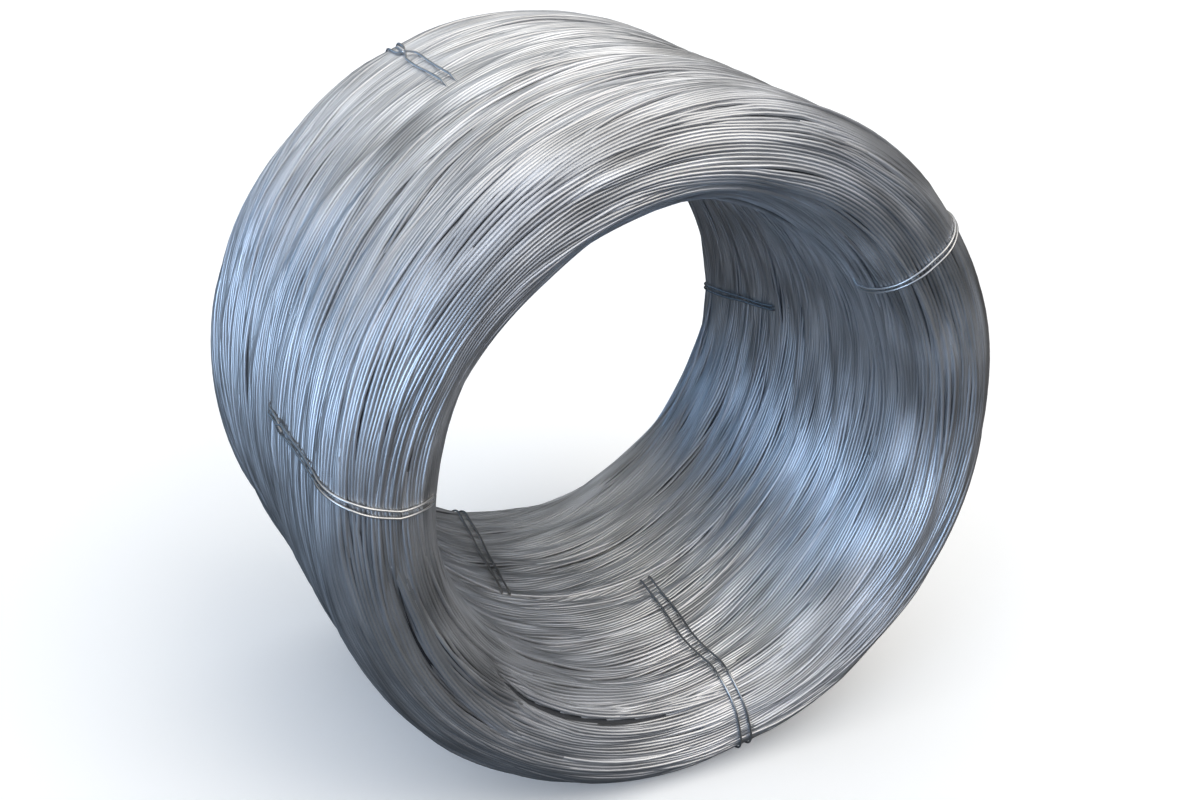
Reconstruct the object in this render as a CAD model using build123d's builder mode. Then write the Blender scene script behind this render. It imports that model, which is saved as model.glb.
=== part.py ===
"""Coil of wire rod lying on its side: one turned coil with a waist, held by six doubled wire ties.

The coil's axis runs along Y, its underside rests on the floor at Z = 0, and the end of the
shorter bundle faces -Y. All dimensions are in millimetres.
"""

import os
from math import acos, asin, cos, degrees, radians, sin, sqrt

from build123d import *

os.makedirs("parts", exist_ok=True)

# Overall size of the coil as wound
BORE_RADIUS = 425
WALL = 200
LENGTH = 830
OUTER_RADIUS = BORE_RADIUS + WALL

# The turns of rod lie side by side as rings on the flat of each end, and the ends are
# rounded over on both sides of that flat, both as shares of the coil's wall
ROD_DIAMETER = 6.5
TURN_DEPTH = 2.5
FLAT_SHARE = 0.13
BORE_CORNER_SHARE = 0.47
END_TURNS = round(WALL * FLAT_SHARE / ROD_DIAMETER)
BORE_CORNER = WALL * BORE_CORNER_SHARE
OUTER_CORNER = WALL - BORE_CORNER - END_TURNS * ROD_DIAMETER
OUTER_CHORDS = 4
INNER_CHORDS = 4

# Along the outside the turns lie in bunches, with a shallow valley between each and the next
BUNCH_WIDTH = 86
VALLEY_DEPTH = 4

# The coil is tied as two bundles, and a waist runs round it where they meet
PARTING_Y = -38
WAIST_DEPTH = 13
BORE_WAIST_DEPTH = 12
SHOULDER_RADIUS = 65
SHOULDER_CHORDS = 1

# Each tie is a wire laid double round one bundle: over the outside and the end,
# in a channel along the bore, and back through a slot at the parting
STRAND_DIAMETER = 5
STRAND_SIDES = 6
TIE_CLEARANCE = 0.3
CHANNEL_SIDE_GAP = 1.5

# The ends of a tie are twisted together into a short tail between its strands
TAIL_DIAMETER = 8
TAIL_LENGTH = 34

# The two strands lie close together in some ties and spread apart in others
CLOSE_SPACING = 11
SPREAD_SPACING = 22

# Each tie with the end its bundle is on, its angle round the coil from the top towards +X,
# how far apart its strands lie, and where its twist lies between the waist and the rounded
# end, as a share of the way
FRONT = -1
REAR = 1
TIES = {
    "tie_front_left": (FRONT, -82, CLOSE_SPACING, 0.2),
    "tie_front_right": (FRONT, 55, CLOSE_SPACING, 0.2),
    "tie_front_bottom": (FRONT, 168, SPREAD_SPACING, 0.25),
    "tie_rear_top": (REAR, -22, SPREAD_SPACING, 0.85),
    "tie_rear_right": (REAR, 87, CLOSE_SPACING, 0.2),
    "tie_rear_bottom": (REAR, -155, SPREAD_SPACING, 0.25),
}

# A strand's centre runs this far off the surface that it lies on, and in the bore
# it is let in as deep as it meets the first flank of the rounded end
SEAT_OFFSET = STRAND_DIAMETER / 2 + TIE_CLEARANCE
BORE_LINE = BORE_RADIUS + BORE_CORNER - (BORE_CORNER + SEAT_OFFSET) * cos(radians(90 / INNER_CHORDS))
OUTER_LINE = OUTER_RADIUS + SEAT_OFFSET
FACE_UP = 180 / STRAND_SIDES

HALF_LENGTH = LENGTH / 2
COIL_AXIS = Axis((0, 0, OUTER_RADIUS), (0, 1, 0))


def shoulder_run(depth):
    """Length along the coil over which a shoulder falls away into a waist of this depth."""
    return sqrt(SHOULDER_RADIUS**2 - (SHOULDER_RADIUS - depth) ** 2)


def bend(middle, radius, start, stop, chords):
    """Points round a corner in equal straight lengths, as distances outward and endward."""
    turns = [radians(start + (stop - start) * step / chords) for step in range(chords + 1)]
    return [(middle[0] + radius * cos(turn), middle[1] + radius * sin(turn)) for turn in turns]


def bundle_corners(end):
    """Middles of the roundings of one bundle: outer shoulder, outer end, bore end, bore shoulder."""
    parting = end * PARTING_Y
    return (
        (OUTER_RADIUS - SHOULDER_RADIUS, parting + shoulder_run(WAIST_DEPTH)),
        (OUTER_RADIUS - OUTER_CORNER, HALF_LENGTH - OUTER_CORNER),
        (BORE_RADIUS + BORE_CORNER, HALF_LENGTH - BORE_CORNER),
        (BORE_RADIUS + SHOULDER_RADIUS, parting + shoulder_run(BORE_WAIST_DEPTH)),
    )


def valleys(start, stop):
    """Points of the bunches' valleys and crests along the outside, between its two roundings."""
    bunches = max(1, round((stop - start) / BUNCH_WIDTH))
    width = (stop - start) / bunches
    points = []
    for bunch in range(bunches):
        points.append((OUTER_RADIUS - VALLEY_DEPTH, start + (bunch + 0.5) * width))
        points.append((OUTER_RADIUS, start + (bunch + 1) * width))
    return points[:-1]


def bundle_outline(end):
    """Half section of one bundle, from the bottom of the waist round its end to the bore."""
    outer_shoulder, outer_end, bore_end, bore_shoulder = bundle_corners(end)
    outer_fall = degrees(asin(shoulder_run(WAIST_DEPTH) / SHOULDER_RADIUS))
    bore_fall = degrees(asin(shoulder_run(BORE_WAIST_DEPTH) / SHOULDER_RADIUS))
    rings = []
    for turn in range(END_TURNS):
        crest = outer_end[0] - turn * ROD_DIAMETER
        rings.append((crest - ROD_DIAMETER / 2, HALF_LENGTH - TURN_DEPTH))
        rings.append((crest - ROD_DIAMETER, HALF_LENGTH))
    return (
        bend(outer_shoulder, SHOULDER_RADIUS, -outer_fall, 0, SHOULDER_CHORDS)
        + valleys(outer_shoulder[1], outer_end[1])
        + bend(outer_end, OUTER_CORNER, 0, 90, OUTER_CHORDS)
        + rings[:-1]
        + bend(bore_end, BORE_CORNER, 90, 180, INNER_CHORDS)
        + bend(bore_shoulder, SHOULDER_RADIUS, 180, 180 + bore_fall, SHOULDER_CHORDS)
    )


def tie_loop(end):
    """Centreline of a strand round its bundle, from the rounded end on the outside."""
    outer_shoulder, outer_end, bore_end, bore_shoulder = bundle_corners(end)
    reach = SHOULDER_RADIUS + SEAT_OFFSET
    outer_turn = degrees(asin(shoulder_run(WAIST_DEPTH) / reach))
    bore_turn = degrees(asin(shoulder_run(BORE_WAIST_DEPTH) / reach))
    bore_lift = degrees(acos((bore_shoulder[0] - BORE_LINE) / reach))
    bore_start = 90 / INNER_CHORDS
    return (
        bend(outer_end, OUTER_CORNER + SEAT_OFFSET, 0, 90, OUTER_CHORDS)
        + bend(bore_end, BORE_CORNER + SEAT_OFFSET, 90, 180 - bore_start, INNER_CHORDS - 1)
        + bend(bore_shoulder, reach, 180 + bore_lift, 180 + bore_turn, 1)
        + bend(outer_shoulder, reach, -outer_turn, 0, SHOULDER_CHORDS)
    )


def tie_plane(end, angle, aside=0):
    """Plane through the coil's axis, x outward at the given angle and y towards one end."""
    outward = Vector(sin(radians(angle)), 0, cos(radians(angle)))
    across = outward.cross(Vector(0, end, 0))
    return Plane(origin=(0, 0, OUTER_RADIUS), x_dir=outward, z_dir=across).offset(aside)


def wire_end(plane, outward, endward):
    """Plane square to a wire that runs along the coil, at a place given in a tie's plane."""
    place = plane.from_local_coords((outward, endward, 0))
    return Plane(origin=place, x_dir=plane.x_dir, z_dir=plane.y_dir)


# The coil: a ring of wound rod with rounded ends, rings of turns on them and a waist
with BuildPart() as coil:
    with BuildSketch(Plane.XY.offset(OUTER_RADIUS)):
        with BuildLine():
            rear_side = bundle_outline(REAR)
            front_side = [(outward, -endward) for outward, endward in bundle_outline(FRONT)]
            Polyline(rear_side + front_side[-2:0:-1], close=True)
        make_face()
    revolve(axis=COIL_AXIS)
    # Each tie's channel along the bore of its bundle, and its slot through the parting
    for end, angle, spacing, share in TIES.values():
        parting = end * PARTING_Y
        channel_width = spacing + STRAND_DIAMETER + 2 * CHANNEL_SIDE_GAP
        with BuildSketch(tie_plane(end, angle)):
            with Locations((BORE_LINE + SEAT_OFFSET, parting)):
                Rectangle(BORE_CORNER, LENGTH, align=(Align.MAX, Align.MIN))
            with Locations((OUTER_RADIUS, parting)):
                Rectangle(2 * WALL, 2 * SEAT_OFFSET)
        extrude(amount=channel_width / 2, both=True, mode=Mode.SUBTRACT)
coil.part.label = "coil"
export_step(coil.part, "parts/coil.step")

# The ties: two strands side by side, joined where their ends are twisted together
for name, (end, angle, spacing, share) in TIES.items():
    loop = tie_loop(end)
    twist_at = loop[-1][1] + share * (loop[0][1] - loop[-1][1])
    middle = tie_plane(end, angle)
    with BuildPart() as tie:
        for aside in (-spacing / 2, spacing / 2):
            strand_plane = tie_plane(end, angle, aside)
            with BuildLine(strand_plane) as strand:
                Polyline([(OUTER_LINE, twist_at), *loop, (OUTER_LINE, twist_at)])
            with BuildSketch(wire_end(strand_plane, OUTER_LINE, twist_at)):
                RegularPolygon(STRAND_DIAMETER / 2, STRAND_SIDES, major_radius=False, rotation=FACE_UP)
            sweep(path=strand.line, transition=Transition.RIGHT)
        # The crossing of the two ends, and the tail that they are twisted into
        with BuildSketch(middle):
            with Locations((OUTER_LINE, twist_at)):
                RegularPolygon(STRAND_DIAMETER / 2, STRAND_SIDES, major_radius=False, rotation=FACE_UP)
        extrude(amount=spacing / 2, both=True)
        tail_line = OUTER_LINE + (TAIL_DIAMETER - STRAND_DIAMETER) / 2
        with BuildSketch(wire_end(middle, tail_line, twist_at)):
            RegularPolygon(TAIL_DIAMETER / 2, STRAND_SIDES, major_radius=False, rotation=FACE_UP)
        extrude(amount=TAIL_LENGTH)
    tie.part.label = name
    export_step(tie.part, f"parts/{name}.step")
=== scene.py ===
import math

import bpy
import numpy as np
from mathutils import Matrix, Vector


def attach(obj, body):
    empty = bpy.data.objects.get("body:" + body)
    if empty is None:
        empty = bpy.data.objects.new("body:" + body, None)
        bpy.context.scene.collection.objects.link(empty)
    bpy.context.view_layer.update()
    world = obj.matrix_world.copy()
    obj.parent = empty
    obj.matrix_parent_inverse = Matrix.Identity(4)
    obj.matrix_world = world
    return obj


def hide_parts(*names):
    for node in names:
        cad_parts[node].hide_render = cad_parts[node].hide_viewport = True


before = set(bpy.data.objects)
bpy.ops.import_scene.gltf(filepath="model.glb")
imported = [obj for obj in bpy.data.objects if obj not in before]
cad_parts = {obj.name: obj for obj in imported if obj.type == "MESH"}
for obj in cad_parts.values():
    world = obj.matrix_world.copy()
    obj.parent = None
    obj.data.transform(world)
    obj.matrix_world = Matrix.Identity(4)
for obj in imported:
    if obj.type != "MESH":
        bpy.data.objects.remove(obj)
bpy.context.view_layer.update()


# The turns of rod. Drawn steel rod with a dull zinc-bright finish, laid side by side round the
# coil's wall as two bundles that meet at a waist. They run a little askew, so that turns come up
# between others and dive under again, with slim dark gaps where they part. A bed lies under them,
# its colour painted darker as the shade in those gaps.
FRONT = -1
REAR = 1
ROD = 0.0065
OUTER = 0.625
BORE = 0.425
HALF_LENGTH = 0.415
PARTING = -0.038
WAIST = 0.013
BORE_WAIST = 0.004
OUTER_ROUND = 0.080
BORE_ROUND = 0.094
SHOULDER = 0.065
BUNCH_WIDTH = 0.086
VALLEY = 0.004
# Packed turns bed into each other a little, so that the grooves between them are shallow
SNUG = 1.06
# How many sides drawn rod has: the turns, the bed under them and the tie wire
TURN_SIDES = 6
BED_SIDES = 4
TIE_SIDES = 8
# How far the layers of the two bundles run on under each other where they meet
LAP = 0.012
# How deep the middles of the turns lie under the wall's surface, at the least and as laid
LEAST_DEPTH = ROD / 2 + 0.0003
TOP_TURN_DEPTH = ROD / 2 + 0.0040
BED_DEPTH = TOP_TURN_DEPTH + 0.0066
# The place along the wall of the middle of each end. Up to there the turns tilt as they do
# outside, and past it as they do in the bore
END_PLACE = {FRONT: 0.4585, REAR: 0.5345}
# The steepest tilt of the turns as a slope, and how many degrees off the top it lies
OUTSIDE_SLOPE = 0.165
OUTSIDE_SLOPE_AT = {FRONT: -38, REAR: -62}
BORE_SLOPE = 0.150
BORE_SLOPE_AT = 17
# Angles run from the top of the coil towards +X. The layers start and close at the bottom
START = 180

# The ties, which the turns are pressed in by. Each has its end, its angle round the coil, and how
# many degrees its way leans off that angle outside, on the end, half way down the bore and at its
# parting. Then how far apart its strands lie, from where to where along the wall loose turns cover
# it, how light its wire is drawn outside and from its end on, where a lighter value is a painted
# highlight on the wire as it crosses the end, and where its tail is, as a share of the way from the
# waist to the end
TIES = {
    "tie_front_left": {
        "end": FRONT,
        "angle": -82,
        "lean": (1.2, -2.3, -2, -1.6),
        "apart": 0.011,
        "cover": (0.53, 1.00),
        "bright": (0.30, 0.95),
        "tail": 0.2,
    },
    "tie_front_right": {
        "end": FRONT,
        "angle": 55,
        "lean": (0, 0, 0, 0),
        "apart": 0.009,
        "cover": (0.60, 1.00),
        "bright": (0.70, 0.82),
        "tail": 0.2,
    },
    "tie_front_bottom": {
        "end": FRONT,
        "angle": 168,
        "lean": (0, 0.5, 1.0, -1.0),
        "apart": 0.020,
        "cover": (2.00, 3.00),
        "bright": (0.12, 0.60),
        "tail": 0.25,
    },
    "tie_rear_top": {
        "end": REAR,
        "angle": -22,
        "lean": (0, 0, 0, 0),
        "apart": 0.020,
        "cover": (-0.10, 0.115),
        "bright": (0.80, 0.80),
        "tail": 0.85,
    },
    "tie_rear_right": {
        "end": REAR,
        "angle": 87,
        "lean": (0, 5.5, -1.2, -8.0),
        "apart": 0.009,
        "cover": (0.93, 1.20),
        "bright": (0.10, 0.10),
        "tail": 0.2,
    },
    "tie_rear_bottom": {
        "end": REAR,
        "angle": -155,
        "lean": (0, -7.5, -2.5, 3.0),
        "apart": 0.018,
        "cover": (2.00, 3.00),
        "bright": (0.10, 0.10),
        "tail": 0.25,
    },
}


def arc(middle, radius, start, stop):
    """Points of an arc across the wall, as distances from the coil's axis and endward."""
    turns = np.radians(np.linspace(start, stop, max(3, int(abs(stop - start)))))
    return [(middle[0] + radius * math.cos(t), middle[1] + radius * math.sin(t)) for t in turns]


def placed(distance, y, turned):
    """Points at a distance from the coil's axis, and turned round it from the top towards +X."""
    return np.stack([distance * np.sin(turned), y, OUTER + distance * np.cos(turned)], -1)


def shoulder_run(depth):
    """Length along the coil over which a shoulder falls away into a waist of this depth."""
    return math.sqrt(SHOULDER**2 - (SHOULDER - depth) ** 2)


def wall_line(end):
    """The line across one bundle's surface that its turns are laid along, with its normals. It
    runs from a little before the parting outside (place 0) to a little past it in the bore."""
    parting = end * PARTING
    run = shoulder_run(WAIST)
    bore_run = shoulder_run(BORE_WAIST)
    lap = math.degrees(LAP / SHOULDER)
    fall = math.degrees(math.asin(run / SHOULDER)) + lap
    bore_fall = math.degrees(math.asin(bore_run / SHOULDER)) + lap
    points = np.array(
        arc((OUTER - SHOULDER, parting + run), SHOULDER, -fall, 0)
        + arc((OUTER - OUTER_ROUND, HALF_LENGTH - OUTER_ROUND), OUTER_ROUND, 0, 90)
        + arc((BORE + BORE_ROUND, HALF_LENGTH - BORE_ROUND), BORE_ROUND, 90, 180)
        + arc((BORE + SHOULDER, parting + bore_run), SHOULDER, 180, 180 + bore_fall)
    )
    # A point that two arcs share is kept once
    same, fineness = 1e-6, 0.002
    keep = np.concatenate([[True], np.hypot(*np.diff(points, axis=0).T) > same])
    points = points[keep]
    along = np.concatenate([[0], np.cumsum(np.hypot(*np.diff(points, axis=0).T))]) - LAP
    even = np.arange(along[0], along[-1], fineness)
    out = np.interp(even, along, points[:, 0])
    endward = np.interp(even, along, points[:, 1])
    d_out, d_end = np.gradient(out), np.gradient(endward)
    size = np.hypot(d_out, d_end)
    return even, out, endward * end, d_end / size, -d_out / size * end


def turned_from(degrees, middle):
    """How many degrees angles lie on from a middle one, the short way round."""
    return (degrees - middle + 180) % 360 - 180


def uneven(rng, length, knot, waves, first=1):
    """A gentle unevenness along the wall and round the coil, as a function of both places."""
    grid = np.arange(-2 * knot, length + 3 * knot, knot)
    strengths = rng.normal(0, 1, (waves, 2, len(grid)))
    scale = 1 / math.sqrt(waves)

    def at(places, degrees):
        turned = np.radians(degrees)
        total = 0
        for wave in range(waves):
            for half in (0, 1):
                strength = np.interp(places, grid, strengths[wave, half])
                total = total + strength * np.cos((wave + first) * turned + half * np.pi / 2)
        return scale * total

    return at


def skidding(rng, length):
    """How much the turns skid aside along the wall, to one side here and the other there."""
    usual_slope = 0.036
    drift = uneven(rng, length, knot=0.028, waves=9)
    return lambda places, degrees: usual_slope * drift(places, degrees)


def moved(line, end, places, degrees, skid, slant=0):
    """How far turns move along the wall in one degree, as they lie tilted, skid and slant."""
    even, out, along_y = line[:3]
    mean_radius = 0.5
    endward = np.interp(places, even, np.gradient(along_y, even))
    outside = OUTSIDE_SLOPE * np.cos(np.radians(degrees - OUTSIDE_SLOPE_AT[end]))
    inside = BORE_SLOPE * np.cos(np.radians(degrees - BORE_SLOPE_AT))
    tilt = np.where(places < END_PLACE[end], outside, inside)
    tilted = math.radians(1) * np.interp(places, even, out) * tilt * endward
    return tilted + math.radians(1) * mean_radius * (skid(places, degrees) + slant)


def new_turn(rng, place, level, strand):
    """One turn of the layer: its place along the wall, its level, from 0 sunk to 1 up, and its
    number among its neighbours, which a few turns share a height by. It sways a little up and
    down in two waves, whose lengths are in degrees."""
    shortest, longest = 18, 70
    return {
        "at": place,
        "level": level,
        "strand": strand,
        "dives": False,
        "gap": None,
        "periods": rng.uniform(shortest, longest, 2),
        "phases": rng.uniform(0, 2 * math.pi, 2),
        "way": [],
    }


def sunk(turns, degrees, strand_height):
    """How deep turns lie under their layer: each a little up and down, a few neighbours higher
    or lower together, and deep while they dive."""
    own_sway, shared_height, dive_in_rods = 0.00045, 0.0017, 1.05
    periods = np.array([turn["periods"] for turn in turns])
    phases = np.array([turn["phases"] for turn in turns])
    levels = np.array([turn["level"] for turn in turns])
    strands = np.array([turn["strand"] for turn in turns])
    sway = np.sin(2 * math.pi * degrees / periods + phases).sum(axis=1)
    together = strand_height(strands, degrees)
    return own_sway * sway + shared_height * together + (1 - levels) * dive_in_rods * ROD


def wanted_room(rng, turns, depth, step):
    """How far apart neighbours lie: touching, or further where a slim gap opens and closes."""
    closest = 0.15 * ROD
    gap_chance, least_gap, most_gap = 0.013, 0.15, 0.70
    shortest, longest, taper = 7, 22, 1.3
    room = np.sqrt(np.clip(ROD**2 - np.diff(depth) ** 2, closest**2, None))
    for pair, turn in enumerate(turns[:-1]):
        if turn["gap"]:
            opened, lasts, size = turn["gap"]
            part = (step - opened) / lasts
            if part < 1:
                room[pair] += size * math.sin(math.pi * part) ** taper
            else:
                turn["gap"] = None
        elif rng.random() < gap_chance:
            lasts = rng.uniform(shortest, longest)
            turn["gap"] = (step, lasts, rng.uniform(least_gap, most_gap) * ROD)
    return room


def settle(at, room):
    """Push crowded neighbours apart, and draw those together that lie only a little apart."""
    rounds, push, draw, near = 6, 0.42, 0.20, 0.4 * ROD
    for _ in range(rounds):
        wrong = np.diff(at) - room
        move = np.where(wrong < 0, push * wrong, np.where(wrong < near, draw * wrong, 0))
        at[:-1] += move / 2
        at[1:] -= move / 2


def one_more_or_less(rng, turns, at, depth, spare):
    """Let a turn dive where the layer is most crowded, and one come up where it is loosest."""
    crowded, loose = -0.55 * ROD, 0.80 * ROD
    risen, within = 0.8, 3
    busy = np.array([turn["level"] < risen or turn["dives"] for turn in turns])
    widest, tightest = int(np.argmax(spare)), int(np.argmin(spare))
    if spare[tightest] < crowded and not busy[max(0, tightest - 1) : tightest + 3].any():
        neighbour = min(tightest + 1, len(depth) - 1)
        deeper = int(depth[neighbour] > depth[tightest])
        turns[tightest + deeper]["dives"] = True
    near = range(max(0, widest - within), min(len(turns) - 1, widest + within + 1))
    free = [k for k in near if not busy[k] and not busy[k + 1]]
    if spare[widest] > loose and free:
        k = max(free, key=lambda k: at[k + 1] - at[k])
        between = (turns[k]["strand"] + turns[k + 1]["strand"]) / 2
        turns.insert(k + 1, new_turn(rng, (at[k] + at[k + 1]) / 2, 0.0, between))


def refill_edges(rng, turns, low, high):
    """Take out turns that have left the layer at its edges and put in new ones where it has drawn
    in, all out of sight under the other bundle. The turns taken out are given back."""
    left = []
    while turns[0]["at"] < low:
        left.append(turns.pop(0))
    while turns[-1]["at"] > high:
        left.append(turns.pop())
    if turns[0]["at"] > low + ROD:
        turns.insert(0, new_turn(rng, turns[0]["at"] - ROD, 1.0, turns[0]["strand"] - 1))
    if turns[-1]["at"] < high - ROD:
        turns.append(new_turn(rng, turns[-1]["at"] + ROD, 1.0, turns[-1]["strand"] + 1))
    return left


def lay_side_by_side(rng, line, end, skid):
    """Follow a layer of turns once round the coil, one degree at a time. A turn's way is a list of
    its angle, its place along the wall, its depth in the layer and its shade."""
    low, high = line[0][0], line[0][-1]
    turns = [new_turn(rng, place, 1.0, (place - low) / ROD) for place in np.arange(low, high, ROD)]
    strand_height = uneven(rng, len(turns), knot=2.6, waves=10, first=2)
    strand_shade = uneven(rng, len(turns), knot=1.5, waves=16, first=3)
    done = []
    # Turns settle over the first lead, rises and dives take a ramp, both in degrees, and the
    # layer counts as loose or crowded over a stretch of neighbours
    lead, ramp, stretch, shortest = 30, 9, 7, 5
    for step in range(-lead, 361):
        degrees = START + step
        at = np.array([turn["at"] for turn in turns])
        at += moved(line, end, at, degrees, skid)
        depth = sunk(turns, degrees, strand_height)
        room = wanted_room(rng, turns, depth, step)
        settle(at, room)
        spare = np.convolve(np.diff(at) - room, np.ones(stretch), "same")
        for turn, place in zip(turns, at):
            turn["at"] = place
            if turn["dives"]:
                turn["level"] = max(0, turn["level"] - 1 / ramp)
            else:
                turn["level"] = min(1, turn["level"] + 1 / ramp)
        one_more_or_less(rng, turns, at, depth, spare)
        done += refill_edges(rng, turns, low, high)
        if step == 0:
            begun = list(turns)
            done = []
        if step >= 0:
            shades = strand_shade(np.array([turn["strand"] for turn in turns]), degrees)
            for turn, deep, shade in zip(turns, sunk(turns, degrees, strand_height), shades):
                turn["way"].append((degrees, turn["at"], deep, shade))
        done += [turn for turn in turns if turn["dives"] and turn["level"] == 0]
        turns = [turn for turn in turns if not (turn["dives"] and turn["level"] == 0)]
    join_up(turns, begun)
    return [np.array(turn["way"]) for turn in done + turns if len(turn["way"]) > shortest]


def partners(stops, starts):
    """Pair the places where turns stop with those where turns start, in their order and as near
    as can be. A turn that is left without a partner is paired with None."""
    skip, same = 0.7 * ROD, 1e-12
    cost = np.zeros((len(stops) + 1, len(starts) + 1))
    cost[:, 0] = skip * np.arange(len(stops) + 1)
    cost[0, :] = skip * np.arange(len(starts) + 1)
    for i in range(1, len(stops) + 1):
        for j in range(1, len(starts) + 1):
            together = cost[i - 1, j - 1] + abs(stops[i - 1] - starts[j - 1])
            cost[i, j] = min(together, cost[i - 1, j] + skip, cost[i, j - 1] + skip)
    pairs = []
    i, j = len(stops), len(starts)
    while i or j:
        together = i and j and cost[i - 1, j - 1] + abs(stops[i - 1] - starts[j - 1])
        if i and j and abs(cost[i, j] - together) < same:
            i, j = i - 1, j - 1
            pairs.append((i, j))
        elif i and abs(cost[i, j] - cost[i - 1, j] - skip) < same:
            i -= 1
            pairs.append((i, None))
        else:
            j -= 1
            pairs.append((None, j))
    return pairs


def dip(way, order):
    """Let a way sink by one rod over its last few degrees, or over its first."""
    over = 10
    for back, point in enumerate(order[:over]):
        angle, place, depth, shade = way[point]
        way[point] = (angle, place, depth + ROD * (1 - back / over), shade)


def join_up(ended, begun):
    """Bend the last stretch of each turn over to the turn that starts beside it, so that the
    layer closes on itself, and let a turn that has no partner dive."""
    over = 28
    fade = np.sin(np.linspace(0, math.pi / 2, over)) ** 2
    starts = np.array([turn["way"][0][1] for turn in begun])
    stops = np.array([turn["at"] for turn in ended])
    for i, j in partners(stops, starts):
        if j is None:
            dip(ended[i]["way"], range(-1, -1 - len(ended[i]["way"]), -1))
        elif i is None:
            dip(begun[j]["way"], range(len(begun[j]["way"])))
        else:
            aim = begun[j]["way"][0]
            way = ended[i]["way"]
            last = way[-1]
            for back in range(min(over, len(way))):
                share = fade[over - 1 - back]
                angle, place, depth, shade = way[-1 - back]
                place += share * (aim[1] - last[1])
                depth += share * (aim[2] - last[2])
                shade += share * (aim[3] - last[3])
                way[-1 - back] = (angle, place, depth, shade)


def lay_loose(rng, line, end, skid):
    """Short lengths that ride over the layer a little more askew, and dive in at both ends."""
    low, high = line[0][0] + 2 * LAP, line[0][-1] - 2 * LAP
    count = int(0.9 * line[0][-1] / ROD)
    shortest, longest = 25, 90
    slants, shades = 0.028, 0.8
    sunk_at_ends, rise = 0.5, 1.15
    ways = []
    for _ in range(count):
        begin, lasts = rng.uniform(0, 360), int(rng.uniform(shortest, longest))
        place = rng.uniform(low, high)
        slant, shade = rng.normal(0, slants), rng.normal(0, shades)
        way = []
        for step in range(lasts):
            degrees = begin + step
            here = np.array([place])
            onward = float(moved(line, end, here, degrees, skid, slant)[0])
            place = min(max(place + onward, low), high)
            up = math.sin(math.pi * (step + 0.5) / lasts) ** 0.5
            way.append((degrees, place, ROD * (sunk_at_ends - rise * up), shade))
        ways.append(np.array(way))
    return ways


def covered(places, cover):
    """From 0 to 1 where loose turns lie over a tie, between two places along the wall."""
    edge = 0.03
    return np.clip((places - cover[0]) / edge, 0, 1) * np.clip((cover[1] - places) / edge, 0, 1)


def leant(end, lean, places):
    """How far a tie leans off its angle at a place along the wall, in degrees."""
    outside, on_end = 0.30, END_PLACE[end]
    return np.interp(places, [outside, on_end, 1.5 * on_end, 2 * on_end], lean)


def held_by_ties(end, degrees, places, depths):
    """The turns pressed in a little under each tie that lies over them, some degrees round it."""
    spread = 4.0
    for tie in TIES.values():
        if tie["end"] == end:
            under = tie["angle"] + leant(end, tie["lean"], places)
            near = np.exp(-((turned_from(degrees, under) / spread) ** 2))
            near = near * (1 - covered(places, tie["cover"]))
            depths = depths + near * np.clip(TOP_TURN_DEPTH - depths, 0, None)
    return depths


# The front bundle is loose: its mouth hangs open at the top and sags open at the bottom. Each
# hollow with its angle, how far round it spreads, its place along the wall, its width and depth
HOLLOWS = (
    (12, 26, 0.555, 0.060, 0.026),
    (176, 30, 0.640, 0.085, 0.024),
)

# Two long crevices run round the lower left of the front end. Each with the angle of its middle,
# its places along the wall at some degrees on from there, how many degrees it reaches both ways,
# its depth, its width, and from where to where the turns beside it run, in degrees on
CREVICES = (
    {
        "middle": -154,
        "turned": (-42, -13, 0, 14, 28, 40),
        "places": (0.504, 0.502, 0.502, 0.509, 0.540, 0.565),
        "reach": 27,
        "depth": 0.024,
        "width": 0.0076,
        "beside": (-37, 21),
    },
    {
        "middle": -118,
        "turned": (-32, -16, -4, 5, 12, 19, 27),
        "places": (0.424, 0.436, 0.440, 0.444, 0.448, 0.444, 0.436),
        "reach": 24,
        "depth": 0.012,
        "width": 0.0058,
        "beside": (-28, 26),
    },
)


def slump(end, degrees, places, depths):
    """Depths in the front bundle with its hollows added."""
    if end == REAR:
        return depths
    for angle, spread, middle, width, size in HOLLOWS:
        across = np.exp(-(((places - middle) / width) ** 2))
        depths = depths + size * across * np.exp(-((turned_from(degrees, angle) / spread) ** 2))
    return depths


def parted(end, degrees, places, depths):
    """Turns that dive out of sight along a crevice, and leave the inner body, painted dark as
    shade, to show.
    """
    if end == REAR:
        return depths
    for crevice in CREVICES:
        turned = turned_from(degrees, crevice["middle"])
        centre = np.interp(turned, crevice["turned"], crevice["places"])
        open_here = np.clip(1.5 * (1 - (turned / crevice["reach"]) ** 2), 0, 1)
        across = np.exp(-(((places - centre) / crevice["width"]) ** 2))
        depths = depths + crevice["depth"] * open_here * across
    return depths


def lay_beside_crevices(rng):
    """Turns that run along both sides of each crevice, over those that dive into it."""
    rows = (-4, -3, -2, -1, 1, 2, 3, 4)
    row_spacing, edge = 0.0058, 0.58
    begins_within, stops_within = 5, 4
    shades, drawn_in = 0.6, 0.3
    sunk_at_ends, rise, lower_each_row = 0.5, 1.3, 0.15
    ways = []
    for crevice in CREVICES:
        for row in rows:
            begin = crevice["beside"][0] + rng.uniform(-begins_within, begins_within)
            stop = crevice["beside"][1] + rng.uniform(-stops_within, stops_within)
            turned = np.arange(begin, stop)
            up = np.sin(math.pi * (turned - begin + 0.5) / (stop - begin + 1)) ** 0.5
            aside = math.copysign(edge * crevice["width"] + row_spacing * abs(row), row)
            centre = np.interp(turned, crevice["turned"], crevice["places"])
            places = centre + aside * (drawn_in + (1 - drawn_in) * up)
            level = ROD * (sunk_at_ends - (rise - lower_each_row * abs(row)) * up)
            shade = np.full(len(turned), rng.normal(0, shades))
            ways.append(np.stack([crevice["middle"] + turned, places, level, shade], -1))
    return ways


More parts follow.
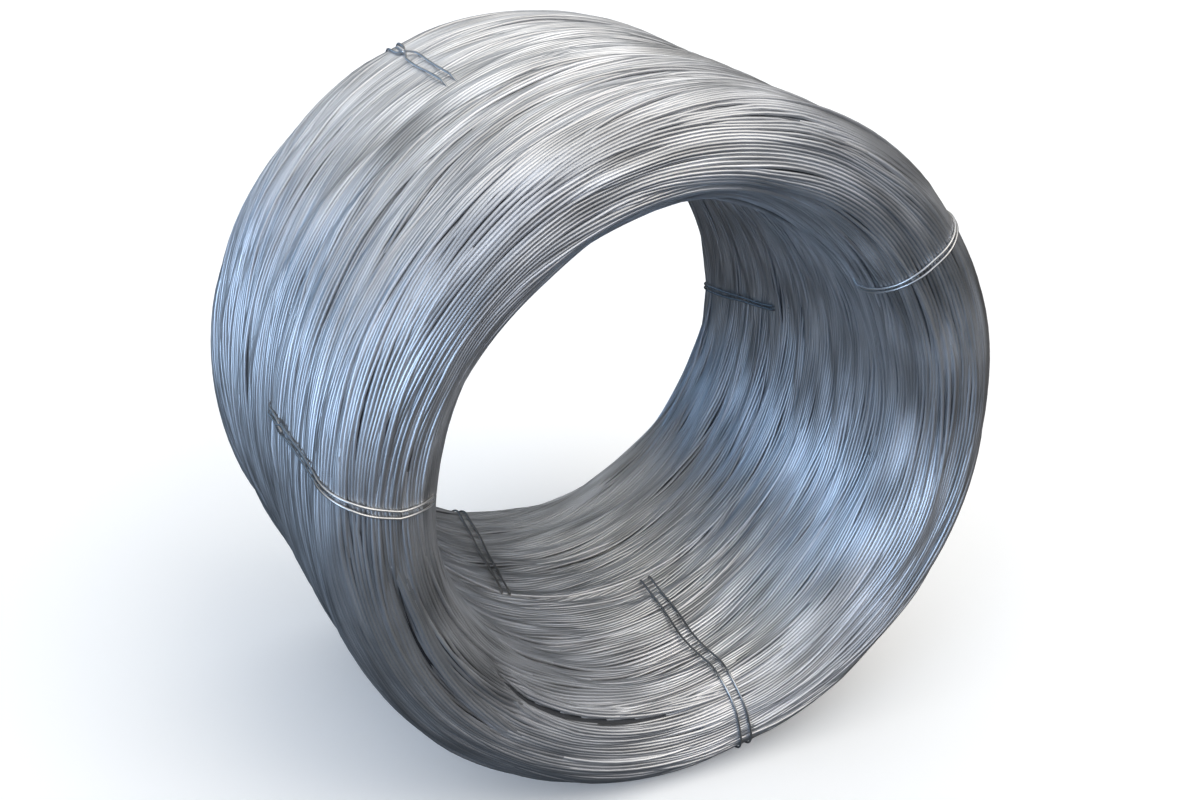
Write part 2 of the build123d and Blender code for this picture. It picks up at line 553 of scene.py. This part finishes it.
def bunched(end, degrees, places, wander, swell):
    """The layer's own shape: shallow valleys between bunches of turns along the outside, which
    wander with the tilt of the turns, and softer swells everywhere."""
    wandering, fade_in, fade_out, into_bore = 0.030, 0.03, 0.04, 0.08
    swelling, swelling_more, lower_in_bore = 0.0016, 0.0012, 0.0012
    run = shoulder_run(WAIST)
    straight = HALF_LENGTH - OUTER_ROUND - end * PARTING - run
    width = straight / round(straight / BUNCH_WIDTH)
    first = SHOULDER * math.asin(run / SHOULDER)
    shifted = places - first + wandering * wander(places, degrees)
    outside = np.clip((places - first) / fade_in, 0, 1)
    outside = outside * np.clip((first + straight - places) / fade_out, 0, 1)
    valley = VALLEY * outside * 0.5 * (1 - np.cos(2 * math.pi * shifted / width))
    inside = np.clip((places - END_PLACE[end]) / into_bore, 0, 1)
    swelled = (swelling + swelling_more * inside) * swell(places, degrees)
    return valley + swelled + lower_in_bore * inside


def lines_mesh(name, line, ways, closed=False):
    """The centrelines of some turns, as lines of edges, each point with its own shade. A way is
    a list of angle in degrees, place along the wall, depth under the surface, and shade."""
    even, out, along_y, normal_out, normal_y = line
    points, edges, shades = [], [], []
    first = 0
    for way in ways:
        degrees, places, depths, shade = way.T
        radius = np.interp(places, even, out) - depths * np.interp(places, even, normal_out)
        y = np.interp(places, even, along_y) - depths * np.interp(places, even, normal_y)
        points.append(placed(radius, y, np.radians(degrees)))
        index = np.arange(first, first + len(way))
        edges.append(np.stack([index[:-1], index[1:]], -1))
        if closed:
            edges.append(np.array([[index[-1], index[0]]]))
        shades.append(shade)
        first += len(way)
    return line_mesh(name, np.concatenate(points), np.concatenate(edges), np.concatenate(shades))


def line_mesh(name, points, edges, shades):
    """A mesh of bare edges whose points each have a shade."""
    mesh = bpy.data.meshes.new(name)
    mesh.from_pydata(points.tolist(), edges.tolist(), [])
    attribute = mesh.attributes.new("shade", "FLOAT", "POINT")
    attribute.data.foreach_set("value", shades.astype(np.float32))
    return mesh


def rod_along_lines():
    """Geometry Nodes that draw round rod along every line of a mesh."""
    tree = bpy.data.node_groups.new("rod_along_lines", "GeometryNodeTree")
    face = tree.interface
    face.new_socket("Geometry", in_out="INPUT", socket_type="NodeSocketGeometry")
    diameter = face.new_socket("Rod Diameter", in_out="INPUT", socket_type="NodeSocketFloat")
    sides = face.new_socket("Sides", in_out="INPUT", socket_type="NodeSocketInt")
    finish = face.new_socket("Finish", in_out="INPUT", socket_type="NodeSocketMaterial")
    face.new_socket("Geometry", in_out="OUTPUT", socket_type="NodeSocketGeometry")
    diameter.default_value = ROD
    sides.default_value = TURN_SIDES
    node, link = tree.nodes.new, tree.links.new
    given, result = node("NodeGroupInput"), node("NodeGroupOutput")
    line, sweep = node("GeometryNodeMeshToCurve"), node("GeometryNodeCurveToMesh")
    section, half = node("GeometryNodeCurvePrimitiveCircle"), node("ShaderNodeMath")
    realize, smooth = node("GeometryNodeRealizeInstances"), node("GeometryNodeSetShadeSmooth")
    paint = node("GeometryNodeSetMaterial")
    half.operation = "MULTIPLY"
    half.inputs[1].default_value = 0.5
    sweep.inputs["Fill Caps"].default_value = True
    link(given.outputs["Geometry"], line.inputs["Mesh"])
    link(given.outputs["Rod Diameter"], half.inputs[0])
    link(half.outputs[0], section.inputs["Radius"])
    link(given.outputs["Sides"], section.inputs["Resolution"])
    link(line.outputs["Curve"], sweep.inputs["Curve"])
    link(section.outputs["Curve"], sweep.inputs["Profile Curve"])
    link(sweep.outputs["Mesh"], realize.inputs["Geometry"])
    link(realize.outputs["Geometry"], smooth.inputs["Geometry"])
    link(smooth.outputs["Geometry"], paint.inputs["Geometry"])
    link(given.outputs["Finish"], paint.inputs["Material"])
    link(paint.outputs["Geometry"], result.inputs["Geometry"])
    sockets = {"diameter": diameter, "sides": sides, "finish": finish}
    return tree, {name: socket.identifier for name, socket in sockets.items()}


rod_tree, rod_inputs = rod_along_lines()


def draw_rod(mesh, diameter, sides, finish):
    """One plain mesh of rod along a mesh of lines."""
    lines = bpy.data.objects.new(mesh.name + "_lines", mesh)
    bpy.context.scene.collection.objects.link(lines)
    draw = lines.modifiers.new("rod", "NODES")
    draw.node_group = rod_tree
    draw[rod_inputs["diameter"]] = diameter
    draw[rod_inputs["sides"]] = sides
    draw[rod_inputs["finish"]] = finish
    evaluated = lines.evaluated_get(bpy.context.evaluated_depsgraph_get())
    drawn = bpy.data.meshes.new_from_object(evaluated)
    bpy.data.objects.remove(lines)
    piece = bpy.data.objects.new(mesh.name, drawn)
    drawn.name = mesh.name
    bpy.context.scene.collection.objects.link(piece)
    return piece


def turn_to_turn():
    """Shader nodes shared by the finishes: the shade of each turn, soft dull patches and grain."""
    tree = bpy.data.node_groups.new("turn_to_turn", "ShaderNodeTree")
    face = tree.interface
    for name, kind, value in (
        ("Colour", "NodeSocketColor", (0.6, 0.6, 0.6, 1)),
        ("Darkest Turn", "NodeSocketFloat", 0.75),
        ("Lightest Turn", "NodeSocketFloat", 1.1),
        ("Roughness", "NodeSocketFloat", 0.4),
        ("Patches", "NodeSocketFloat", 9),
        ("Grain", "NodeSocketFloat", 900),
    ):
        face.new_socket(name, in_out="INPUT", socket_type=kind).default_value = value
    face.new_socket("Colour", in_out="OUTPUT", socket_type="NodeSocketColor")
    face.new_socket("Roughness", in_out="OUTPUT", socket_type="NodeSocketFloat")
    face.new_socket("Height", in_out="OUTPUT", socket_type="NodeSocketFloat")
    node, link = tree.nodes.new, tree.links.new
    given, result = node("NodeGroupInput"), node("NodeGroupOutput")
    shade, place = node("ShaderNodeAttribute"), node("ShaderNodeTexCoord")
    patch, grain = node("ShaderNodeTexNoise"), node("ShaderNodeTexNoise")
    by_turn, by_patch = node("ShaderNodeMapRange"), node("ShaderNodeMapRange")
    both, tint = node("ShaderNodeMath"), node("ShaderNodeMix")
    spread, rough = node("ShaderNodeMapRange"), node("ShaderNodeMath")
    shade.attribute_name = "shade"
    patch.inputs["Detail"].default_value = 3
    by_patch.inputs["From Min"].default_value = 0.3
    by_patch.inputs["From Max"].default_value = 0.7
    by_patch.inputs["To Min"].default_value = 0.88
    by_patch.inputs["To Max"].default_value = 1.08
    both.operation = "MULTIPLY"
    tint.data_type = "RGBA"
    tint.blend_type = "MULTIPLY"
    tint.inputs["Factor"].default_value = 1
    spread.inputs["To Min"].default_value = -0.06
    spread.inputs["To Max"].default_value = 0.08
    link(place.outputs["Object"], patch.inputs["Vector"])
    link(place.outputs["Object"], grain.inputs["Vector"])
    link(given.outputs["Patches"], patch.inputs["Scale"])
    link(given.outputs["Grain"], grain.inputs["Scale"])
    link(shade.outputs["Fac"], by_turn.inputs["Value"])
    link(given.outputs["Darkest Turn"], by_turn.inputs["To Min"])
    link(given.outputs["Lightest Turn"], by_turn.inputs["To Max"])
    link(patch.outputs["Fac"], by_patch.inputs["Value"])
    link(by_turn.outputs["Result"], both.inputs[0])
    link(by_patch.outputs["Result"], both.inputs[1])
    # A Mix node's colours are its inputs 6 and 7 and its output 2
    link(given.outputs["Colour"], tint.inputs[6])
    link(both.outputs[0], tint.inputs[7])
    link(patch.outputs["Fac"], spread.inputs["Value"])
    link(given.outputs["Roughness"], rough.inputs[0])
    link(spread.outputs["Result"], rough.inputs[1])
    link(tint.outputs[2], result.inputs["Colour"])
    link(rough.outputs[0], result.inputs["Roughness"])
    link(grain.outputs["Fac"], result.inputs["Height"])
    return tree


turn_shading = turn_to_turn()


def steel_finish(name, colour, roughness, darkest, lightest, grain_depth):
    """Bare steel whose finish differs a little from turn to turn and from patch to patch."""
    finish = bpy.data.materials.new(name)
    finish.use_nodes = True
    nodes, link = finish.node_tree.nodes, finish.node_tree.links.new
    surface = nodes["Principled BSDF"]
    surface.inputs["Metallic"].default_value = 0.9
    shading, raised = nodes.new("ShaderNodeGroup"), nodes.new("ShaderNodeBump")
    shading.node_tree = turn_shading
    shading.inputs["Colour"].default_value = (*colour, 1)
    shading.inputs["Darkest Turn"].default_value = darkest
    shading.inputs["Lightest Turn"].default_value = lightest
    shading.inputs["Roughness"].default_value = roughness
    raised.inputs["Distance"].default_value = grain_depth
    link(shading.outputs["Colour"], surface.inputs["Base Color"])
    link(shading.outputs["Roughness"], surface.inputs["Roughness"])
    link(shading.outputs["Height"], raised.inputs["Height"])
    link(raised.outputs["Normal"], surface.inputs["Normal"])
    return finish


rod_finish = steel_finish(
    "dull_bright_rod",
    colour=(0.63, 0.635, 0.65),
    roughness=0.42,
    darkest=0.52,
    lightest=1.16,
    grain_depth=0.0001,
)

# A turn is drawn by every third of its points. Its shade is the usual one, more or less what it
# shares with its neighbours, and a little of its own
DRAWN_EVERY = 3
USUAL_SHADE = 0.60
SHARED_SHADE = 0.24
OWN_SHADE = 0.08
# The pieces of the ends hold the turns that lie this near the middle of the end
END_REACH = 0.06
# The bed under them: its points in degrees, its pitch in rods, and its lightest shade, kept low
# as painted shade in the gaps it shows through. It skids only a small share as much
BED_STEP = 5.0
BED_PITCH = 1.02
BED_LIGHTEST_PAINTED_SHADE = 0.3
BED_SKID = 0.08
SEEDS = {FRONT: 11, REAR: 23}
CREVICE_SEED = 5

for side, end in (("front", FRONT), ("rear", REAR)):
    line = wall_line(end)
    high = line[0][-1]
    rng = np.random.default_rng(SEEDS[end])
    skid = skidding(rng, high)
    wander = uneven(rng, high, knot=0.20, waves=3)
    swell = uneven(rng, high, knot=0.022, waves=9, first=2)
    ways = lay_side_by_side(rng, line, end, skid) + lay_loose(rng, line, end, skid)
    if end == FRONT:
        ways += lay_beside_crevices(np.random.default_rng(CREVICE_SEED))
    lines = {"outside": [], "end": [], "bore": [], "below": []}
    for way in ways:
        keep = np.arange(len(way)) % DRAWN_EVERY == 0
        keep[-1] = True
        degrees, places, level, shade = way[keep].T
        depths = TOP_TURN_DEPTH + level + bunched(end, degrees, places, wander, swell)
        depths = np.clip(depths, LEAST_DEPTH, None)
        depths = held_by_ties(end, degrees, places, depths)
        depths = parted(end, degrees, places, slump(end, degrees, places, depths))
        own = rng.uniform(-OWN_SHADE, OWN_SHADE)
        shade = np.clip(USUAL_SHADE + SHARED_SHADE * shade + own, 0, 1)
        past = places.mean() - END_PLACE[end]
        zone = "outside" if past < -END_REACH else "end" if past < END_REACH else "bore"
        lines[zone].append(np.stack([degrees, places, depths, shade], -1))
    # The bed of turns just under those that show, painted darker than they are as the shade in the
    # gaps
    degrees = np.arange(0, 360, BED_STEP)
    for place in np.arange(0, high, BED_PITCH * ROD):
        here = np.full(len(degrees), place)
        places = np.clip(here + BED_SKID * skid(here, degrees), 0, high)
        depths = BED_DEPTH + bunched(end, degrees, places, wander, swell)
        depths = parted(end, degrees, places, slump(end, degrees, places, depths))
        # Painted shade: each bed ring is drawn darker than the turns over it
        shade = np.full(len(degrees), rng.uniform(0, BED_LIGHTEST_PAINTED_SHADE))
        lines["below"].append(np.stack([degrees, places, depths, shade], -1))
    for zone, ways in lines.items():
        below = zone == "below"
        mesh = lines_mesh(f"turns_{side}_{zone}", line, ways, closed=below)
        piece = draw_rod(mesh, ROD * SNUG, BED_SIDES if below else TURN_SIDES, rod_finish)
        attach(piece, "root")
        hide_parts("coil")


# The inner turns, which show only as dark gaps between the outer ones. One plain turned body
# stands for them, a little under the turns that are laid over it. Its colour is painted dark, as
# the shade that lies in those gaps.
SUNK = 0.0185
AROUND = 120
ACROSS_EVERY = 6
# Painted shade: a near black finish for the inner body, darker than the steel really is
painted_shade_finish = steel_finish(
    "painted_shade_inside",
    colour=(0.10, 0.105, 0.115),
    roughness=0.6,
    darkest=0.9,
    lightest=1.1,
    grain_depth=0.0003,
)
spin = np.arange(0, 360, 360 / AROUND)
half_sections = []
for end in (REAR, FRONT):
    rows = [row[::ACROSS_EVERY, None] for row in wall_line(end)]
    even, out, along_y, normal_out, normal_y = rows
    places = even + np.zeros((1, AROUND))
    depths = slump(end, spin, places, np.full_like(places, SUNK))
    half_section = np.stack([out - depths * normal_out, along_y - depths * normal_y], -1)
    half_sections.append(half_section if end == REAR else half_section[::-1])
section = np.concatenate(half_sections)
points = placed(section[..., 0], section[..., 1], np.radians(spin))
index = np.arange(len(section) * AROUND).reshape(len(section), AROUND)
next_ring = np.roll(index, -1, axis=0)
quads = np.stack([index, np.roll(index, -1, axis=1), np.roll(next_ring, -1, axis=1), next_ring], -1)
mesh = bpy.data.meshes.new("turns_inside")
mesh.from_pydata(points.reshape(-1, 3).tolist(), [], quads.reshape(-1, 4).tolist())
mesh.polygons.foreach_set("use_smooth", [True] * len(mesh.polygons))
mesh.materials.append(painted_shade_finish)
inside = bpy.data.objects.new("turns_inside", mesh)
bpy.context.scene.collection.objects.link(inside)
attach(inside, "root")
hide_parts("coil")


# The ties. Soft round wire laid double round one bundle and drawn tight, in one length that goes
# round twice, with its two ends twisted together into a short tail that is pressed down flat.
TIE_WIRE = 0.0040
TIE_IN_TURNS = 0.0032
POINT_SPACING = 0.007
TIE_SEED = 100
# How far a tie sinks where loose turns cover it, and how it follows the hollows of its bundle
COVERED_DEPTH = 0.013
HOLLOW_SHARE = 0.9
# A strand waves to its sides: how far, and how fast
WAVES = ((0.0012, 19), (0.0008, 41))
# Half way round, the wire steps across to its second strand, and lies higher there
CROSSING_HALF = 0.02
CROSSING_LIFT = 0.0030
CROSSING_SPREAD = 0.012
# The tail starts between the strands and past the waist by this much, and rises towards its tip
TAIL_LENGTH = 0.034
TAIL_REACH = 0.03
TAIL_PAST_WAIST = 0.04
TAIL_ROOT_LIFT = 0.0022
TAIL_RISE = 0.002
TAIL_POINTS = 25
TWIST_PITCH = 0.015
# The wire's painted highlight on the end starts this far before the end of the coil, and comes in
# over this length
END_HIGHLIGHT_FROM = 0.06
END_HIGHLIGHT_OVER = 0.03
tie_finish = steel_finish(
    "tie_wire",
    colour=(0.66, 0.65, 0.64),
    roughness=0.34,
    darkest=0.30,
    lightest=1.10,
    grain_depth=0.0001,
)


def tie_loop(end, tie):
    """Once round the bundle in a tie's way: distance from the axis, endward, and to the side.
    It starts where the tail is."""
    even, out, along_y, normal_out, normal_y = wall_line(end)
    slack, through_points = 0.001, 60
    shown = (even > -slack) & (even < even[-1] - LAP + slack)
    lift = TIE_WIRE / 2 - TIE_IN_TURNS - COVERED_DEPTH * covered(even, tie["cover"])
    lift -= HOLLOW_SHARE * slump(end, np.full_like(even, tie["angle"]), even, np.zeros_like(even))
    wall_out = (out + lift * normal_out)[shown]
    wall_endward = ((along_y + lift * normal_y) * end)[shown]
    aside = (-end * np.radians(leant(end, tie["lean"], even)) * out)[shown]
    wall = np.stack([wall_out, wall_endward, aside], -1)
    through = np.linspace(wall[-1], wall[0], through_points)[1:-1]
    loop = np.concatenate([wall, through])
    waist_y = end * PARTING + TAIL_PAST_WAIST
    tail_y = waist_y + tie["tail"] * (HALF_LENGTH - OUTER_ROUND - waist_y)
    on_outside = wall[: len(wall) // 3]
    begin = int(np.argmin(np.abs(on_outside[:, 1] - tail_y)))
    return np.roll(loop, -begin, axis=0)


def tie_strands(rng, loop, apart):
    """The wire twice round a tie's loop, its strands side by side, and crossing half way."""
    twice = np.concatenate([loop, loop, loop[:1]])
    travel = np.concatenate([[0], np.cumsum(np.linalg.norm(np.diff(twice, axis=0), axis=1))])
    steps = np.linspace(0, travel[-1], int(travel[-1] / POINT_SPACING))
    once = travel[-1] / 2
    half = apart / 2
    crossing = [once - CROSSING_HALF, once + CROSSING_HALF]
    turns_at = [0, TAIL_REACH, *crossing, 2 * once - TAIL_REACH, 2 * once]
    side = np.interp(steps, turns_at, [0, -half, -half, half, half, 0])
    for swing, rate in WAVES:
        side += swing * np.sin(steps * rate + rng.uniform(0, 6))
    way = np.stack([np.interp(steps, travel, twice[:, axis]) for axis in range(3)], -1)
    way[:, 0] += CROSSING_LIFT * np.exp(-(((steps - once) / CROSSING_SPREAD) ** 2))
    way[:, 2] += side
    return way


def tie_tails(root):
    """The two ends of the wire, wound round each other towards the rounded end."""
    turn = np.linspace(0, 1, TAIL_POINTS + 1)[1:]
    wound = 2 * np.pi * TAIL_LENGTH / TWIST_PITCH * turn
    rise = TAIL_ROOT_LIFT + TAIL_RISE * turn
    tails = []
    for phase in (0, np.pi):
        tail_out = root[0] + rise + TIE_WIRE / 2 * np.cos(wound + phase)
        tail_endward = root[1] + TAIL_LENGTH * turn
        tail_aside = root[2] + TIE_WIRE / 2 * np.sin(wound + phase)
        tails.append(np.stack([tail_out, tail_endward, tail_aside], -1))
    return tails


for number, (name, tie) in enumerate(TIES.items()):
    end = tie["end"]
    rng = np.random.default_rng(TIE_SEED + number)
    strands = tie_strands(rng, tie_loop(end, tie), tie["apart"])
    tails = tie_tails(strands[0])
    way = np.concatenate([tails[0][::-1], strands, tails[1]])
    # Each point is turned round the axis, so that the tie lies on the round of the coil
    turned = math.radians(tie["angle"]) - end * way[:, 2] / way[:, 0]
    points = placed(way[:, 0], end * way[:, 1], turned)
    edges = np.stack([np.arange(len(points) - 1), np.arange(1, len(points))], -1)
    # Painted highlight: the wire is drawn lighter from the end on, where it crosses the end
    on_end = np.clip((way[:, 1] - HALF_LENGTH + END_HIGHLIGHT_FROM) / END_HIGHLIGHT_OVER, 0, 1)
    outside_tone, end_tone_with_highlight = tie["bright"]
    shades = outside_tone + (end_tone_with_highlight - outside_tone) * on_end
    mesh = line_mesh(name + "_wire", points, edges, shades)
    piece = draw_rod(mesh, TIE_WIRE, TIE_SIDES, tie_finish)
    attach(piece, "root")
    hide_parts(name)


# The floor, the light and the camera. A plain pale floor, warm soft lamps above the front, cooler
# ones low at the left, and the camera where the photograph was taken from.
REACH = 14
floor_corners = [(-REACH, -REACH, 0), (REACH, -REACH, 0), (REACH, REACH, 0), (-REACH, REACH, 0)]
floor_mesh = bpy.data.meshes.new("floor")
floor_mesh.from_pydata(floor_corners, [], [(0, 1, 2, 3)])
floor = bpy.data.objects.new("floor", floor_mesh)
bpy.context.scene.collection.objects.link(floor)
pale = bpy.data.materials.new("pale_floor")
pale.use_nodes = True
floor_nodes, floor_link = pale.node_tree.nodes, pale.node_tree.links.new
pale_surface = floor_nodes["Principled BSDF"]
pale_surface.inputs["Base Color"].default_value = (0.95, 0.95, 0.95, 1)
pale_surface.inputs["Roughness"].default_value = 0.9
pale_surface.inputs["Specular IOR Level"].default_value = 0
pale_surface.inputs["Emission Color"].default_value = (1, 1, 1, 1)
pale_surface.inputs["Emission Strength"].default_value = 0.12
# The floor throws back less light onto the coil than the eye sees on it
quiet = floor_nodes.new("ShaderNodeBsdfDiffuse")
quiet.inputs["Color"].default_value = (0.05, 0.05, 0.05, 1)
seen = floor_nodes.new("ShaderNodeLightPath")
choose = floor_nodes.new("ShaderNodeMixShader")
floor_link(seen.outputs["Is Camera Ray"], choose.inputs["Fac"])
floor_link(quiet.outputs["BSDF"], choose.inputs[1])
floor_link(pale_surface.outputs["BSDF"], choose.inputs[2])
floor_link(choose.outputs["Shader"], floor_nodes["Material Output"].inputs["Surface"])
floor_mesh.materials.append(pale)

# A soft overhead light that fades out towards the horizon, and a pale wall where the eye sees it
world = bpy.data.worlds.new("studio")
bpy.context.scene.world = world
world.use_nodes = True
sky_nodes, sky_link = world.node_tree.nodes, world.node_tree.links.new
overhead = sky_nodes["Background"]
overhead.inputs["Color"].default_value = (0.88, 0.91, 0.94, 1)
direction = sky_nodes.new("ShaderNodeTexCoord")
height = sky_nodes.new("ShaderNodeSeparateXYZ")
fade = sky_nodes.new("ShaderNodeMapRange")
fade.interpolation_type = "SMOOTHSTEP"
fade.inputs["From Min"].default_value = 0.46
fade.inputs["From Max"].default_value = 0.86
fade.inputs["To Min"].default_value = 0.03
fade.inputs["To Max"].default_value = 1.22
wall = sky_nodes.new("ShaderNodeBackground")
wall.inputs["Color"].default_value = (1.0, 1.0, 1.0, 1)
sky_seen = sky_nodes.new("ShaderNodeLightPath")
sky_choose = sky_nodes.new("ShaderNodeMixShader")
sky_link(direction.outputs["Generated"], height.inputs[0])
sky_link(height.outputs["Z"], fade.inputs["Value"])
sky_link(fade.outputs["Result"], overhead.inputs["Strength"])
sky_link(sky_seen.outputs["Is Camera Ray"], sky_choose.inputs["Fac"])
sky_link(overhead.outputs["Background"], sky_choose.inputs[1])
sky_link(wall.outputs["Background"], sky_choose.inputs[2])
sky_link(sky_choose.outputs["Shader"], sky_nodes["World Output"].inputs["Surface"])
bpy.context.scene.view_settings.view_transform = "Standard"


def soft_lamp(name, azimuth, elevation, spread, strength, colour):
    """A broad far lamp, at an angle from +X towards +Y and a height, both in degrees."""
    lamp = bpy.data.lights.new(name, "SUN")
    lamp.energy = strength
    lamp.angle = math.radians(spread)
    lamp.color = colour
    lamp_object = bpy.data.objects.new(name, lamp)
    around, lift = math.radians(azimuth), math.radians(elevation)
    level = math.cos(lift)
    toward = Vector((level * math.cos(around), level * math.sin(around), math.sin(lift)))
    lamp_object.rotation_euler = toward.to_track_quat("Z", "Y").to_euler()
    bpy.context.scene.collection.objects.link(lamp_object)


soft_lamp("lamp_left", 210, 6, 36, 2.20, (0.49, 0.70, 1.0))
soft_lamp("lamp_left_rear", 120, 6, 30, 0.38, (0.31, 0.59, 1.0))
soft_lamp("lamp_left_above", 196, 40, 44, 0.30, (0.86, 0.92, 1.0))
soft_lamp("lamp_front", 270, 6, 40, 0.52, (0.66, 0.77, 1.0))
soft_lamp("lamp_front_right", 324, 28, 40, 0.24, (0.75, 0.82, 1.0))
soft_lamp("lamp_above_front", 285, 30, 44, 0.56, (1.0, 0.92, 0.78))
soft_lamp("lamp_above_right", 312, 55, 50, 0.80, (1.0, 0.90, 0.74))

# The camera, from where the coil's outline and bore look as in the photograph. It stands so many
# outer radii from the coil's middle, and the focal length is in pixels of the photograph's width
PHOTO_WIDTH = 1200
FOCAL_LENGTH = 1586.03
SENSOR_WIDTH = 36
STAND = (-1.8125, -3.8769, 1.9171)
LOOK = (0.38917, 0.82092, -0.41790)
camera = bpy.data.cameras.new("camera")
camera.sensor_width = SENSOR_WIDTH
camera.lens = FOCAL_LENGTH / PHOTO_WIDTH * SENSOR_WIDTH
camera.clip_end = 60
camera_object = bpy.data.objects.new("camera", camera)
bpy.context.scene.collection.objects.link(camera_object)
camera_object.location = (STAND[0] * OUTER, STAND[1] * OUTER, STAND[2] * OUTER + OUTER)
camera_object.rotation_euler = Vector(LOOK).to_track_quat("-Z", "Y").to_euler()
bpy.context.scene.camera = camera_object
